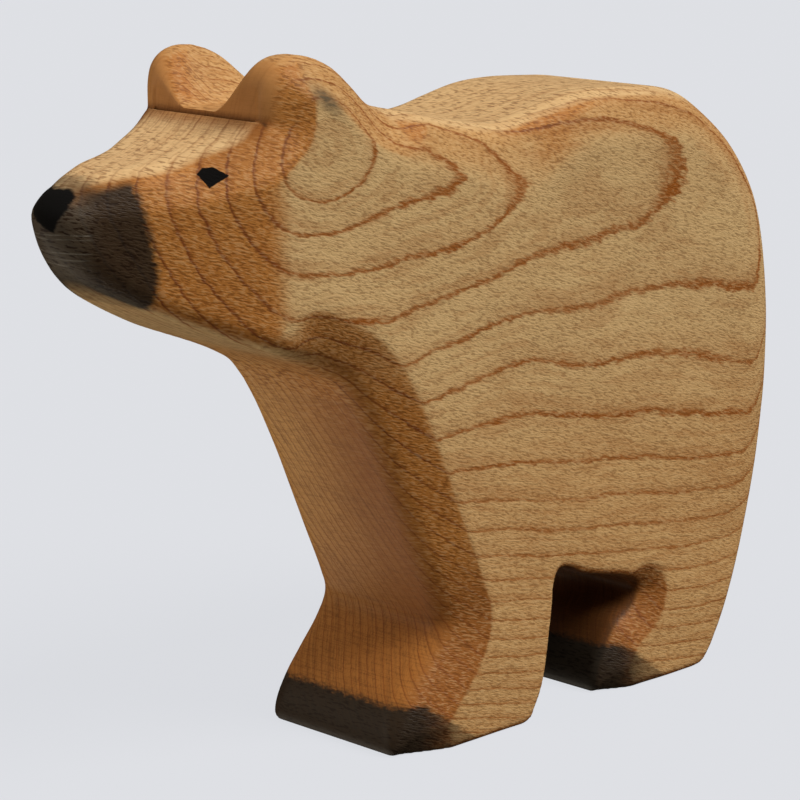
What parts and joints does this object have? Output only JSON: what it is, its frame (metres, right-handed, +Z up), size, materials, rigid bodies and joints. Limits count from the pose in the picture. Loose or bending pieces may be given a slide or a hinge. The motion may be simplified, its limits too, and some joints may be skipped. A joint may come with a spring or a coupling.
{
  "type": "carved wooden toy bear",
  "caption": "Small standing bear sawn from one thick board and carved by hand, with a tapered face, two upright ears and a gap between front and hind legs.",
  "frame": {"origin": "bottom centre of the bounding box, on the surface the feet stand on", "axes": "+Z up, +Y from the nose towards the rump, +X towards the bear's left flank"},
  "size_m": [0.03, 0.1277, 0.0957],
  "materials": {
    "oiled_maple": "satin oil, with dark stain on the muzzle and the fronts of the feet"
  },
  "bodies": {
    "root": {"carved_bear": "oiled_maple"}
  },
  "joints": []
}
